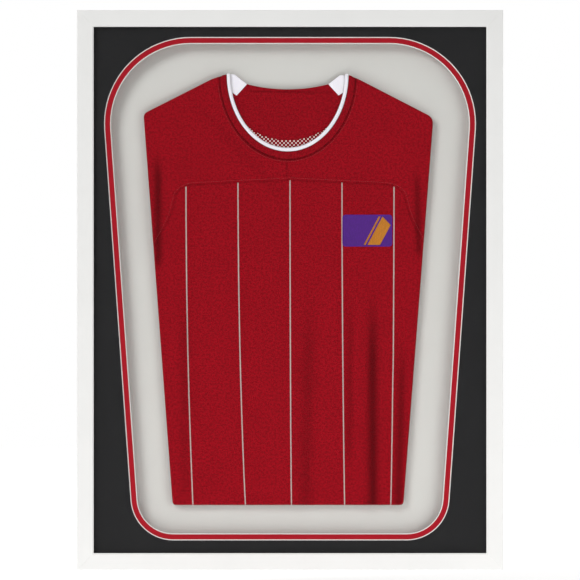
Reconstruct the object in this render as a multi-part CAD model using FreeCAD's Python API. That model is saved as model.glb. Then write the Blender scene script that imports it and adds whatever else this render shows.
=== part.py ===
# Jersey display frame: a deep white picture frame that holds a folded sports jersey behind a double mat.
#
# Millimetres. +X is to the viewer's right, +Z is up and +Y points at the wall, so the front faces -Y.
# The origin is the middle of the frame's height and width, on the wall plane that the bumpers touch.
import FreeCAD, Part
import math
import os

Vector = FreeCAD.Vector

TINY = 1e-6
CUT_OVER = 1.0  # cutting tools run this far past what they cut

# Sheets: everything in the rebate is cut to one standard size.
SHEET_W = 600.0
SHEET_H = 800.0
SHEET_PLAY = 1.0  # gap between a sheet's edge and the rebate wall, each side

# Moulding
FACE = 25.0  # width of the front face
LIP = 7.0  # how far the front lip reaches over the rebate
LIP_THICK = 6.0
RAIL_DEPTH = 33.0
EDGE_ROUND = 1.0
LIP_SLOPE_W = 2.0  # the sloped inner edge, across the face
LIP_SLOPE_D = 1.5  # and how far it falls back
MITRE_GROOVE = 0.3  # depth of the fine V line left in the paint along each mitre
WALL = FACE - LIP  # thickness of the rail beside the rebate

REBATE_W = SHEET_W + 2 * SHEET_PLAY
REBATE_H = SHEET_H + 2 * SHEET_PLAY
FRAME_W = REBATE_W + 2 * WALL
FRAME_H = REBATE_H + 2 * WALL

# Places along the depth, from the wall forwards
WALL_GAP = 5.0  # the bumpers' thickness
Y_BACK = -WALL_GAP
Y_FRONT = Y_BACK - RAIL_DEPTH
Y_REBATE = Y_FRONT + LIP_THICK

# The stack in the rebate, from the glazing backwards
GLAZING = 2.0
MAT = 1.4
BACKING = 1.4
PANEL = 3.0
PANEL_SHY = 0.2  # the back panel ends this far inside the rails' back
Y_OUTER_MAT = Y_REBATE + GLAZING
Y_INNER_MAT = Y_OUTER_MAT + MAT
Y_SPACER = Y_INNER_MAT + MAT
Y_PANEL = Y_BACK - PANEL_SHY - PANEL
Y_BACKING = Y_PANEL - BACKING
SPACER_W = 12.0
V_NAIL_LEG = 5.0
V_NAIL_GAUGE = 0.5
V_NAIL_DEPTH = 7.0
V_NAIL_SPREAD = 35.0  # degrees from the mitre line to each leg
V_NAIL_ALONG = (4.0, 10.0)  # in from the outer corner, along both rails

# Mat openings: a tall trapezium with large round shoulders
OPENING_TOP = 379.0
OPENING_BOTTOM = -375.0
OPENING_HALF_TOP = 288.1
OPENING_HALF_BOTTOM = 234.6
OPENING_R_TOP = 130.0
OPENING_R_BOTTOM = 64.0
MAT_STEP = 9.0  # the inner mat's opening is this much smaller all round

# Jersey, folded round a stiff former
FABRIC = 1.5
BACK_LAYER = 1.2
FOLD = 2.5  # sleeves and hem folded behind
FORMER = 3.0
PAD = 2.0
Y_PAD = Y_BACKING - PAD
Y_FOLD = Y_PAD - FOLD
Y_BACK_LAYER = Y_FOLD - BACK_LAYER
Y_FORMER = Y_BACK_LAYER - FORMER
Y_JERSEY = Y_FORMER - FABRIC

HEM_Z = -322.5
HEM_R = 3.0
SLOPE_R = 60.0
NECK_Z = 323.5
# Folded by hand, so the two sides differ: (x, z) at the hem, shoulder tip, slope and neck
HEM_RIGHT = 170.0
HEM_LEFT = 176.0
SHOULDER_RIGHT = (215.2, 258.5)
SHOULDER_LEFT = (219.8, 264.5)
SHOULDER_RIGHT_R = 14.0
SHOULDER_LEFT_R = 8.0
SLOPE_RIGHT = (102.0, 316.8)  # where the shoulder slope eases towards the neck
SLOPE_LEFT = (116.0, 317.0)
NECK_RIGHT = (87.9, 322.0)
NECK_LEFT = (94.9, NECK_Z)

# Neckline ellipses share one centre: (half width, drop)
NECK_CENTRE_X = -3.5
NECK_CENTRE_Z = 322.6
BAND_OUTER = (102.0, 126.5)
BAND_INNER = (91.4, 114.9)
PIPING_INNER = (85.6, 109.0)
FACING = (97.9, 98.0)
BAND_THICK = 2.0
PIPING_THICK = 2.6
FACING_THICK = 0.5
TAPE_THICK = 0.8
BACK_NECK_HALF = 61.0
BACK_NECK_Z = 308.7
BACK_NECK_DROP = 7.7
TAPE_SLOPE = 1.28  # sideways per unit of height along the top edge of each tape end
TAPE_OUT = 15.5  # the lower inner corner of a tape end, from its upper inner corner
TAPE_DOWN = 17.0
TAPE_LOWEST = 26.0  # below the neck point
ABOVE_NECK = 20.0  # neckline cutters end this far above the collar
HEM_FOLD = 72.0  # the hem turned up behind
HEM_FOLD_IN = 6.0  # and how far inside the sides it lies

# A folded sleeve behind the back, right half, from its inner lower corner: (x, z, radius)
SLEEVE = [(60.0, 20.0, 20.0), (196.0, 75.0, 6.0), (206.0, 240.0, 6.0), (30.0, 170.0, 20.0)]

# Pads behind the folds, right half
PAD_SIZE = 30.0
PAD_PLACES = [(140.0, 150.0), (110.0, -285.0)]

# Front seam between the yoke and the body panel, right half, from the middle outwards
YOKE_SEAM = [(0.0, 165.0), (153.0, 157.5), (171.0, 147.0), (174.0, 130.0), (182.0, 104.0), (205.0, 62.0)]

CREST_X = 116.0
CREST_Z = 89.0
CREST_W = 75.0
CREST_H = 48.0
CREST_R = 5.0
CREST_THICK = 0.6

# Hardware on the back
SCREW_R = 1.5
SCREW_HEAD_R = 3.2
SCREW_HEAD_H = 1.9
SCREW_LENGTH = 12.0
SCREW_TIP = 3.0
CROSS_W = 0.8  # the cross slot in a screw's head
CROSS_L = 3.6
CROSS_D = 1.1
BUTTON_THICK = 1.0
BUTTON_LIFT = 0.05  # running clearance under the button
BUTTON_PLAY = 0.1  # and under its screw head
BUTTON_HOLE_R = SCREW_R + 0.08
BUTTON_REACH = 18.0
BUTTON_TAIL = 6.0
BUTTON_HALF = 6.0  # half width at the pivot end
BUTTON_TIP_HALF = 4.5
RIB_HALF = 1.4  # the pressed rib along the arm
RIB_H = 0.6
BUTTON_X = 160.0  # buttons on the top and bottom rails
BUTTON_Z = 150.0  # buttons on the side rails
STRAP_THICK = 0.8
STRAP_W = 11.0
STRAP_LENGTH = 36.0
STRAP_SCREWS = (19.5, 30.5)  # below the ring's axis
BARREL_R = 2.3
BARREL_BORE_R = 1.28
WIRE_R = 1.2
RING_HALF = 8.5  # to the middle of the wire
RING_ARM = 5.0  # from the axis to where the round end starts
RING_CORNER = 2.4
RING_Z = 240.0
RING_X = 307.0
BUMPER_R = 6.0
BUMPER_TAPER = 1.2
BUMPER_ROUND = 0.8
BUMPER_X = 290.0

RAIL_ANGLE = {"bottom": 0, "left": 90, "top": 180, "right": -90}


def inset_corners(corners, inset):
    """The corners (x, z, radius) of an anticlockwise outline, moved inwards by inset."""
    moved = []
    for i, (x, z, radius) in enumerate(corners):
        nb, na, turn = corner_normals(corners, i)
        k = inset / (1 + nb[0] * na[0] + nb[1] * na[1])
        new_radius = radius - inset if turn > 0 else radius + inset
        moved.append((x + k * (nb[0] + na[0]), z + k * (nb[1] + na[1]), max(new_radius, 0.0)))
    return moved


def edges_at(shape, y):
    """The edges of a shape that lie in the plane y."""
    return [e for e in shape.Edges if abs(e.BoundBox.YMin - y) < TINY and e.BoundBox.YLength < TINY]


def corner_normals(corners, i):
    """Inward normals of the edges before and after corner i, and the way the outline turns there."""
    x0, z0, _ = corners[i - 1]
    x1, z1, _ = corners[i]
    x2, z2, _ = corners[(i + 1) % len(corners)]
    before = math.hypot(x1 - x0, z1 - z0)
    after = math.hypot(x2 - x1, z2 - z1)
    db = ((x1 - x0) / before, (z1 - z0) / before)
    da = ((x2 - x1) / after, (z2 - z1) / after)
    turn = db[0] * da[1] - db[1] * da[0]
    return (-db[1], db[0]), (-da[1], da[0]), turn


def outline(corners, y, inset=0.0):
    """A closed wire in the plane y through rounded corners (x, z, radius), anticlockwise in x and z."""
    corners = inset_corners(corners, inset)
    edges = []
    ends = []
    for i, (x, z, radius) in enumerate(corners):
        nb, na, turn = corner_normals(corners, i)
        if radius < TINY:
            ends.append((Vector(x, y, z), Vector(x, y, z)))
            edges.append(None)
            continue
        r = radius if turn > 0 else -radius
        dot = nb[0] * na[0] + nb[1] * na[1]
        cx = x + r * (nb[0] + na[0]) / (1 + dot)
        cz = z + r * (nb[1] + na[1]) / (1 + dot)
        middle = math.hypot(nb[0] + na[0], nb[1] + na[1])
        first = Vector(cx - r * nb[0], y, cz - r * nb[1])
        last = Vector(cx - r * na[0], y, cz - r * na[1])
        mid = Vector(cx - r * (nb[0] + na[0]) / middle, y, cz - r * (nb[1] + na[1]) / middle)
        ends.append((first, last))
        edges.append(Part.Arc(first, mid, last).toShape())
    wire = []
    for i, arc in enumerate(edges):
        if arc is not None:
            wire.append(arc)
        wire.append(Part.LineSegment(ends[i][1], ends[(i + 1) % len(ends)][0]).toShape())
    return Part.Wire(wire)


def slab(corners, y0, y1, inset=0.0):
    """A flat plate between the planes y0 and y1 with a rounded outline."""
    return Part.Face(outline(corners, y0, inset)).extrude(Vector(0, y1 - y0, 0))


def rectangle(x0, x1, z0, z1, radius=0.0):
    """Corners of an upright rectangle."""
    return [(x0, z0, radius), (x1, z0, radius), (x1, z1, radius), (x0, z1, radius)]


def mirrored(right_half):
    """Anticlockwise corners of an outline that is the same on both sides, from its right half, upwards."""
    return right_half + [(-x, z, r) for x, z, r in reversed(right_half)]


def place(shape, angle, x, z):
    """Turns a shape about Y and then moves it to x, z."""
    moved = shape.copy()
    moved.rotate(Vector(0, 0, 0), Vector(0, 1, 0), angle)
    moved.translate(Vector(x, 0, z))
    return moved


def rod(radius, y0, y1, x=0.0, z=0.0):
    """A round rod along Y."""
    return Part.makeCylinder(radius, y1 - y0, Vector(x, y0, z), Vector(0, 1, 0))


# Moulding


def rail_blank(length):
    """One mitred rail along X, its outer edge at z = 0 and its inner side towards +Z."""
    a = EDGE_ROUND
    q = a * (1 - math.sqrt(0.5))
    front = [
        Part.Arc(Vector(0, Y_FRONT + a, 0), Vector(0, Y_FRONT + q, q), Vector(0, Y_FRONT, a)).toShape(),
    ]
    corners = [
        Vector(0, Y_FRONT, a),
        Vector(0, Y_FRONT, FACE - LIP_SLOPE_W),
        Vector(0, Y_FRONT + LIP_SLOPE_D, FACE),
        Vector(0, Y_REBATE, FACE),
        Vector(0, Y_REBATE, WALL),
        Vector(0, Y_BACK, WALL),
        Vector(0, Y_BACK, a),
        Vector(0, Y_BACK - a, 0),
        Vector(0, Y_FRONT + a, 0),
    ]
    sides = [Part.LineSegment(p, q).toShape() for p, q in zip(corners, corners[1:])]
    profile = Part.Face(Part.Wire(front + sides))
    profile.translate(Vector(-length / 2, 0, 0))
    bar = profile.extrude(Vector(length, 0, 0))
    half = length / 2
    mitres = [(-half, 0, 0), (half, 0, 0), (half - FACE, FACE, 0), (-half + FACE, FACE, 0)]
    rail = bar.common(slab(mitres, Y_FRONT - CUT_OVER, Y_BACK + CUT_OVER))
    return rail.cut([mitre_groove(-half, -45), mitre_groove(half, -135)])


def mitre_groove(x, angle):
    """A square bar on edge that cuts the fine V line along a mitre's front."""
    side = MITRE_GROOVE * math.sqrt(2)
    bar = Part.makeBox(2 * FACE, side, side, Vector(-CUT_OVER, -side / 2, -side / 2))
    bar.rotate(Vector(0, 0, 0), Vector(1, 0, 0), 45)
    bar.rotate(Vector(0, 0, 0), Vector(0, 1, 0), angle)
    bar.translate(Vector(x, Y_FRONT, 0))
    return bar


def v_nails():
    """Two V nails in each mitre, driven in flush with the back."""
    legs = []
    for side in (-1, 1):
        corner = Vector(-V_NAIL_GAUGE / 2, Y_BACK - V_NAIL_DEPTH, 0)
        strip = Part.makeBox(V_NAIL_GAUGE, V_NAIL_DEPTH, V_NAIL_LEG, corner)
        strip.rotate(Vector(0, 0, 0), Vector(0, 1, 0), side * V_NAIL_SPREAD)
        legs.append(strip)
    nail = legs[0].fuse(legs[1]).removeSplitter()
    nails = []
    for angle, sx, sz in ((45, -1, -1), (135, -1, 1), (-135, 1, 1), (-45, 1, -1)):
        for along in V_NAIL_ALONG:
            nails.append(place(nail, angle, sx * (FRAME_W / 2 - along), sz * (FRAME_H / 2 - along)))
    return nails


def rails(cutters):
    """The four rails, with the slots and holes that the nails and screws make."""
    spans = {"bottom": FRAME_W, "left": FRAME_H, "top": FRAME_W, "right": FRAME_H}
    centres = {
        "bottom": (0, -FRAME_H / 2),
        "left": (-FRAME_W / 2, 0),
        "top": (0, FRAME_H / 2),
        "right": (FRAME_W / 2, 0),
    }
    made = {}
    for side, span in spans.items():
        rail = place(rail_blank(span), RAIL_ANGLE[side], *centres[side])
        near = [c for c in cutters if c.BoundBox.intersect(rail.BoundBox)]
        made["rail_" + side] = rail.cut(near)
    return made


# Sheets


def mat(y, inset):
    """A mat board with a bevel-cut opening, wider at its front."""
    board = slab(rectangle(-SHEET_W / 2, SHEET_W / 2, -SHEET_H / 2, SHEET_H / 2), y, y + MAT)
    opening = mirrored(
        [
            (OPENING_HALF_BOTTOM, OPENING_BOTTOM, OPENING_R_BOTTOM),
            (OPENING_HALF_TOP, OPENING_TOP, OPENING_R_TOP),
        ]
    )
    front = outline(opening, y - CUT_OVER, inset - CUT_OVER)
    back = outline(opening, y + MAT + CUT_OVER, inset + MAT + CUT_OVER)
    return board.cut(Part.makeLoft([front, back], True, True))


def sheets():
    """Glazing, mats, spacer strips, backing board and back panel."""
    whole = rectangle(-SHEET_W / 2, SHEET_W / 2, -SHEET_H / 2, SHEET_H / 2)
    half_w, half_h = SHEET_W / 2, SHEET_H / 2
    strips = {
        "spacer_top": rectangle(-half_w, half_w, half_h - SPACER_W, half_h),
        "spacer_bottom": rectangle(-half_w, half_w, -half_h, -half_h + SPACER_W),
        "spacer_left": rectangle(-half_w, -half_w + SPACER_W, -half_h + SPACER_W, half_h - SPACER_W),
        "spacer_right": rectangle(half_w - SPACER_W, half_w, -half_h + SPACER_W, half_h - SPACER_W),
    }
    made = {name: slab(corners, Y_SPACER, Y_BACKING) for name, corners in strips.items()}
    made["glazing_sheet"] = slab(whole, Y_REBATE, Y_OUTER_MAT)
    made["outer_mat"] = mat(Y_OUTER_MAT, 0.0)
    made["inner_mat"] = mat(Y_INNER_MAT, MAT_STEP)
    made["backing_board"] = slab(whole, Y_BACKING, Y_PANEL)
    made["back_panel"] = slab(whole, Y_PANEL, Y_PANEL + PANEL)
    return made


# Jersey

SILHOUETTE = [
    (HEM_RIGHT, HEM_Z, HEM_R),
    (*SHOULDER_RIGHT, SHOULDER_RIGHT_R),
    (*SLOPE_RIGHT, SLOPE_R),
    (*NECK_RIGHT, 0.0),
    (-NECK_LEFT[0], NECK_LEFT[1], 0.0),
    (-SLOPE_LEFT[0], SLOPE_LEFT[1], SLOPE_R),
    (-SHOULDER_LEFT[0], SHOULDER_LEFT[1], SHOULDER_LEFT_R),
    (-HEM_LEFT, HEM_Z, HEM_R),
]


def neck_hole(size, y0, y1):
    """A cutter for a neckline: the lower half of an ellipse, with straight sides above it."""
    half, drop = size
    centre = Vector(NECK_CENTRE_X, y0, NECK_CENTRE_Z)
    whole = Part.Ellipse(centre - Vector(0, 0, drop), centre + Vector(half, 0, 0), centre)
    lower = Part.ArcOfEllipse(whole, -math.pi / 2, math.pi / 2).toShape()
    rise = Vector(0, 0, ABOVE_NECK)
    left, right = centre - Vector(half, 0, 0), centre + Vector(half, 0, 0)
    rim = [right, right + rise, left + rise, left]
    sides = [Part.LineSegment(p, q).toShape() for p, q in zip(rim, rim[1:])]
    return Part.Face(Part.Wire([lower] + sides)).extrude(Vector(0, y1 - y0, 0))


def neck_ring(outer, inner, thick):
    """The part of a neck band that lies on the front, between two neckline ellipses."""
    y0 = Y_FORMER - thick
    ring = neck_hole(outer, y0, Y_FORMER).cut(neck_hole(inner, y0 - CUT_OVER, Y_FORMER + CUT_OVER))
    return ring.common(slab(SILHOUETTE, y0, Y_FORMER))


def jersey_front():
    """Yoke and body panel: the front layer, which turns in round the former's edge, and the hem fold."""
    shell = slab(SILHOUETTE, Y_JERSEY, Y_FOLD).cut(slab(SILHOUETTE, Y_FORMER, Y_FOLD + CUT_OVER, FABRIC))
    shell = shell.cut(neck_hole(BAND_OUTER, Y_JERSEY - CUT_OVER, Y_FOLD + CUT_OVER))
    seam = YOKE_SEAM[::-1] + [(-x, z) for x, z in YOKE_SEAM[1:]]
    side, top = SHOULDER_LEFT[0] + ABOVE_NECK, NECK_Z + ABOVE_NECK
    region = [(-side, top)] + [(-side, YOKE_SEAM[-1][1])] + [(-x, z) for x, z in seam]
    region += [(side, YOKE_SEAM[-1][1]), (side, top)]
    above = slab([(x, z, 0.0) for x, z in region], Y_JERSEY - CUT_OVER, Y_FOLD + CUT_OVER)
    in_from_side = HEM_RIGHT - HEM_FOLD_IN
    hem = [(in_from_side, HEM_Z, 0.0), (in_from_side, HEM_Z + HEM_FOLD, HEM_FOLD_IN)]
    flap = slab(mirrored(hem), Y_FOLD, Y_PAD)
    body = shell.cut(above).fuse(flap).removeSplitter()
    return {"jersey_yoke": shell.common(above), "jersey_front_panel": body}


def back_neck_cut(y0, y1):
    """A cutter above the back neckline, which dips between the two ends of the neck tape."""
    low = Vector(NECK_CENTRE_X, y0, BACK_NECK_Z - BACK_NECK_DROP)
    left = low + Vector(-BACK_NECK_HALF, 0, BACK_NECK_DROP)
    right = low + Vector(BACK_NECK_HALF, 0, BACK_NECK_DROP)
    top = NECK_Z + ABOVE_NECK - BACK_NECK_Z
    rise = top * TAPE_SLOPE
    rim = [right, right + Vector(rise, 0, top), left + Vector(-rise, 0, top), left]
    edges = [Part.Arc(left, low, right).toShape()]
    edges += [Part.LineSegment(p, q).toShape() for p, q in zip(rim, rim[1:])]
    return Part.Face(Part.Wire(edges)).extrude(Vector(0, y1 - y0, 0))


def neck_tape():
    """Two short ends of the inner neck tape, one at each shoulder."""
    edge = PIPING_INNER[0]
    reach = BACK_NECK_HALF + (NECK_Z - BACK_NECK_Z) * TAPE_SLOPE
    right = [
        (edge, NECK_Z - TAPE_LOWEST, 0.0),
        (edge, NECK_Z, 0.0),
        (reach, NECK_Z, 0.0),
        (BACK_NECK_HALF, BACK_NECK_Z, 0.0),
        (BACK_NECK_HALF + TAPE_OUT, BACK_NECK_Z - TAPE_DOWN, 0.0),
    ]
    left = [(-x, z, r) for x, z, r in reversed(right)]
    y0 = Y_BACK_LAYER - TAPE_THICK
    inside = neck_hole(PIPING_INNER, y0, Y_BACK_LAYER).common(slab(SILHOUETTE, y0, Y_BACK_LAYER))
    ends = []
    for side in (left, right):
        end = slab(side, y0, Y_BACK_LAYER)
        end.translate(Vector(NECK_CENTRE_X, 0, 0))
        ends.append(end.common(inside))
    return ends


def jersey_inside():
    """Back layer, half-moon facing, neck tape, and the sleeves folded flat behind."""
    back = slab(SILHOUETTE, Y_BACK_LAYER, Y_FOLD, FABRIC)
    back = back.cut(back_neck_cut(Y_BACK_LAYER - CUT_OVER, Y_FOLD + CUT_OVER))
    tape = neck_tape()
    y0 = Y_BACK_LAYER - FACING_THICK
    facing = neck_hole(FACING, y0, Y_BACK_LAYER).common(neck_hole(PIPING_INNER, y0, Y_BACK_LAYER))
    facing = facing.common(slab(SILHOUETTE, y0, Y_BACK_LAYER, FABRIC))
    facing = facing.cut([back_neck_cut(y0 - CUT_OVER, Y_BACK_LAYER + CUT_OVER)] + tape)
    facing = max(facing.Solids, key=lambda solid: solid.Volume)
    left_sleeve = [(-x, z, r) for x, z, r in reversed(SLEEVE)]
    return {
        "jersey_back": back,
        "back_neck_facing": facing,
        "neck_tape": tape,
        "sleeve_left": slab(left_sleeve, Y_FOLD, Y_PAD),
        "sleeve_right": slab(SLEEVE, Y_FOLD, Y_PAD),
    }


def crest():
    """A plain stitched patch with round corners on the wearer's left chest."""
    across, up = CREST_W / 2, CREST_H / 2
    ends = [(across, -up), (across, up), (-across, up), (-across, -up)]
    patch = [(CREST_X + x, CREST_Z + z, CREST_R) for x, z in ends]
    return slab(patch, Y_JERSEY - CREST_THICK, Y_JERSEY)


def former():
    """The stiff card inside the jersey, cut out under the neckline."""
    card = slab(SILHOUETTE, Y_FORMER, Y_BACK_LAYER, FABRIC)
    return card.cut(neck_hole(PIPING_INNER, Y_FORMER - CUT_OVER, Y_BACK_LAYER + CUT_OVER))


def pads():
    """Adhesive pads that hold the folded jersey to the backing board."""
    half = PAD_SIZE / 2
    middles = [(side * x, z) for side in (-1, 1) for x, z in PAD_PLACES]
    return [slab(rectangle(x - half, x + half, z - half, z + half), Y_PAD, Y_BACKING) for x, z in middles]


# Hardware


def screw(y_under):
    """A pan-head cross-slot wood screw along Y, its head's underside at y_under."""
    y_top = y_under + SCREW_HEAD_H
    head = rod(SCREW_HEAD_R, y_under, y_top)
    head = head.makeFillet(SCREW_HEAD_H / 2, edges_at(head, y_top))
    shank = rod(SCREW_R, y_under - SCREW_LENGTH + SCREW_TIP, y_under)
    end = Vector(0, y_under - SCREW_LENGTH, 0)
    point = Part.makeCone(SCREW_R / 10, SCREW_R, SCREW_TIP, end, Vector(0, 1, 0))
    y_slot = y_top - CROSS_D
    deep = CROSS_D + CUT_OVER
    flat = Part.makeBox(CROSS_L, deep, CROSS_W, Vector(-CROSS_L / 2, y_slot, -CROSS_W / 2))
    upright = Part.makeBox(CROSS_W, deep, CROSS_L, Vector(-CROSS_W / 2, y_slot, -CROSS_L / 2))
    return head.fuse([shank, point]).removeSplitter().cut([flat, upright])


def button():
    """A flat stamped turn button, its pivot at the origin and its arm towards +Z."""
    y0 = Y_BACK + BUTTON_LIFT
    y1 = y0 + BUTTON_THICK
    ends = [
        (BUTTON_HALF, -BUTTON_TAIL, BUTTON_HALF * 0.9),
        (BUTTON_TIP_HALF, BUTTON_REACH, BUTTON_TIP_HALF * 0.9),
    ]
    plate = slab(mirrored(ends), y0, y1)
    rib_start = SCREW_HEAD_R + RIB_HALF
    rib_end = BUTTON_REACH - 2 * RIB_HALF
    rib_corners = rectangle(-RIB_HALF, RIB_HALF, rib_start, rib_end, RIB_HALF * 0.95)
    rib = slab(rib_corners, y1 - BUTTON_THICK / 2, y1 + RIB_H)
    rib = rib.makeFillet(RIB_H * 0.6, edges_at(rib, y1 + RIB_H))
    return plate.fuse(rib).removeSplitter().cut(rod(BUTTON_HOLE_R, y0 - CUT_OVER, y1 + CUT_OVER))


def button_places():
    """Name of each turn button: its rail and the place of its pivot."""
    edge_x = FRAME_W / 2 - WALL / 2
    edge_z = FRAME_H / 2 - WALL / 2
    return {
        "top_left": ("top", -BUTTON_X, edge_z),
        "top_right": ("top", BUTTON_X, edge_z),
        "bottom_left": ("bottom", -BUTTON_X, -edge_z),
        "bottom_right": ("bottom", BUTTON_X, -edge_z),
        "left_upper": ("left", -edge_x, BUTTON_Z),
        "left_lower": ("left", -edge_x, -BUTTON_Z),
        "right_upper": ("right", edge_x, BUTTON_Z),
        "right_lower": ("right", edge_x, -BUTTON_Z),
    }


def hanger_strap():
    """A strap with a rolled barrel along X at the origin's height and two screw holes below it."""
    half = STRAP_W / 2
    y_axis = Y_BACK + BARREL_R
    y_top = Y_BACK + STRAP_THICK
    end_round = STRAP_W * 0.45
    lower = [(-half, -STRAP_LENGTH, end_round), (half, -STRAP_LENGTH, end_round)]
    plate = slab(lower + [(half, 0, 0), (-half, 0, 0)], Y_BACK, y_top)
    along = Vector(1, 0, 0)
    barrel = Part.makeCylinder(BARREL_R, STRAP_W, Vector(-half, y_axis, 0), along)
    bore_length = STRAP_W + 2 * CUT_OVER
    bore = Part.makeCylinder(BARREL_BORE_R, bore_length, Vector(-bore_length / 2, y_axis, 0), along)
    holes = [rod(SCREW_R, Y_BACK - CUT_OVER, y_top + CUT_OVER, z=-z) for z in STRAP_SCREWS]
    return plate.fuse(barrel).removeSplitter().cut([bore] + holes)


def hanger_ring():
    """A wire D ring whose straight side lies in the barrel, hanging down."""
    y = Y_BACK + BARREL_R
    bar = RING_HALF - RING_CORNER
    bend = RING_CORNER * (1 - math.sqrt(0.5))
    right_low = Vector(RING_HALF, y, -RING_CORNER)
    left_low = Vector(-RING_HALF, y, -RING_CORNER)
    right_arm = Vector(RING_HALF, y, -RING_ARM)
    left_arm = Vector(-RING_HALF, y, -RING_ARM)
    path = Part.Wire(
        [
            Part.LineSegment(Vector(-bar, y, 0), Vector(bar, y, 0)).toShape(),
            Part.Arc(Vector(bar, y, 0), Vector(RING_HALF - bend, y, -bend), right_low).toShape(),
            Part.LineSegment(right_low, right_arm).toShape(),
            Part.Arc(right_arm, Vector(0, y, -RING_ARM - RING_HALF), left_arm).toShape(),
            Part.LineSegment(left_arm, left_low).toShape(),
            Part.Arc(left_low, Vector(-RING_HALF + bend, y, -bend), Vector(-bar, y, 0)).toShape(),
        ]
    )
    section = Part.Wire(Part.Circle(Vector(-bar, y, 0), Vector(1, 0, 0), WIRE_R).toShape())
    return path.makePipeShell([section], True, False)


def bumper():
    """A round rubber bumper that tapers towards the wall."""
    at = Vector(0, Y_BACK, 0)
    pad = Part.makeCone(BUMPER_R, BUMPER_R - BUMPER_TAPER, WALL_GAP, at, Vector(0, 1, 0))
    return pad.makeFillet(BUMPER_ROUND, edges_at(pad, 0))


def hardware():
    """Turn buttons, hangers, bumpers and their screws."""
    made = {}
    button_screws = []
    y_head = Y_BACK + BUTTON_LIFT + BUTTON_THICK + BUTTON_PLAY
    for name, (side, x, z) in button_places().items():
        made["turn_button_" + name] = place(button(), RAIL_ANGLE[side], x, z)
        button_screws.append(place(screw(y_head), 0, x, z))
    made["turn_button_screws"] = button_screws
    hanger_screws = []
    for side, sign in (("left", -1), ("right", 1)):
        x = sign * RING_X
        made["hanger_strap_" + side] = place(hanger_strap(), 0, x, RING_Z)
        made["hanger_ring_" + side] = place(hanger_ring(), 0, x, RING_Z)
        made["wall_bumper_" + side] = place(bumper(), 0, sign * BUMPER_X, -FRAME_H / 2 + WALL / 2)
        hanger_screws += [place(screw(Y_BACK + STRAP_THICK), 0, x, RING_Z - z) for z in STRAP_SCREWS]
    made["hanger_screws"] = hanger_screws
    return made


def main():
    nodes = hardware()
    nodes["corner_v_nails"] = v_nails()
    fasteners = nodes["corner_v_nails"] + nodes["turn_button_screws"] + nodes["hanger_screws"]
    nodes.update(rails(fasteners))
    nodes.update(sheets())
    nodes.update(jersey_front())
    nodes.update(jersey_inside())
    nodes["neckband"] = neck_ring(BAND_OUTER, BAND_INNER, BAND_THICK)
    nodes["neck_piping"] = neck_ring(BAND_INNER, PIPING_INNER, PIPING_THICK)
    nodes["chest_crest"] = crest()
    nodes["shirt_former"] = former()
    nodes["fixing_pads"] = pads()
    os.makedirs("parts", exist_ok=True)
    for name, shape in nodes.items():
        pieces = shape if isinstance(shape, list) else [shape]
        solids = [solid for piece in pieces for solid in piece.Solids]
        faulty = [solid for solid in solids if not solid.isValid() or solid.Volume <= 0]
        Part.makeCompound(solids).exportStep("parts/" + name + ".step")
        print(name, len(solids), "solids,", len(faulty), "faulty")


main()
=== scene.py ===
import math

import bmesh
import bpy
import numpy as np
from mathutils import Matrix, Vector, kdtree, noise
from mathutils.bvhtree import BVHTree
from mathutils.geometry import delaunay_2d_cdt


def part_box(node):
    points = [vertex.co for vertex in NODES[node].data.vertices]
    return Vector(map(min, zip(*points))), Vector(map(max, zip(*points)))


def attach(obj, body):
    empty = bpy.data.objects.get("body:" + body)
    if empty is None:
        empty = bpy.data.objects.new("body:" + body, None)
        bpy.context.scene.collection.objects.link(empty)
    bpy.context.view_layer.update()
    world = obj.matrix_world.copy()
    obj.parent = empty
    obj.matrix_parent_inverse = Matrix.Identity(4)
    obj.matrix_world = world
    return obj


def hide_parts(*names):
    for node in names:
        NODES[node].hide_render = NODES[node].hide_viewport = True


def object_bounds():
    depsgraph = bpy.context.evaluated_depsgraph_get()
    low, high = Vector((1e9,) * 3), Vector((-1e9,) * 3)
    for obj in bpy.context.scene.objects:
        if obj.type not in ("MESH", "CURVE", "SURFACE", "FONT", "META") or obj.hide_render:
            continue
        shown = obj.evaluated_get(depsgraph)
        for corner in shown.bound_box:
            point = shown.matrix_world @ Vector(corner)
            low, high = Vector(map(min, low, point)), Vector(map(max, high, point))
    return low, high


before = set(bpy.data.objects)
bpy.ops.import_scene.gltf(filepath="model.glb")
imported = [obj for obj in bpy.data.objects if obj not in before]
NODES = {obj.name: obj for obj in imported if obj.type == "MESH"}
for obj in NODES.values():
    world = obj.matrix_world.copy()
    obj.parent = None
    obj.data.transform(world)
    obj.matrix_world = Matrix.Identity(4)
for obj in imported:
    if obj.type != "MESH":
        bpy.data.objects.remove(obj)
CAD_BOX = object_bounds()
MM = 0.001

# Cloth. STRIPE_DRIFT is how far each stripe has wandered by the hem.
CLOTH_SPACING = 5.0 * MM
SEAM_SPACING = 2.5 * MM
EDGE_RADIUS = 2.2 * MM  # how tightly the cloth turns round the former's edge
TUCK = 4.0 * MM  # how far it reaches behind
UNDER_BAND = 5.0 * MM  # and under the neckband
STRIPE_GAP = 78.0 * MM
STRIPE_WIDTH = 1.8 * MM
STRIPE_DRIFT = (10.4 * MM, 11.2 * MM, 2.0 * MM, 4.0 * MM, -5.0 * MM)

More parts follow.
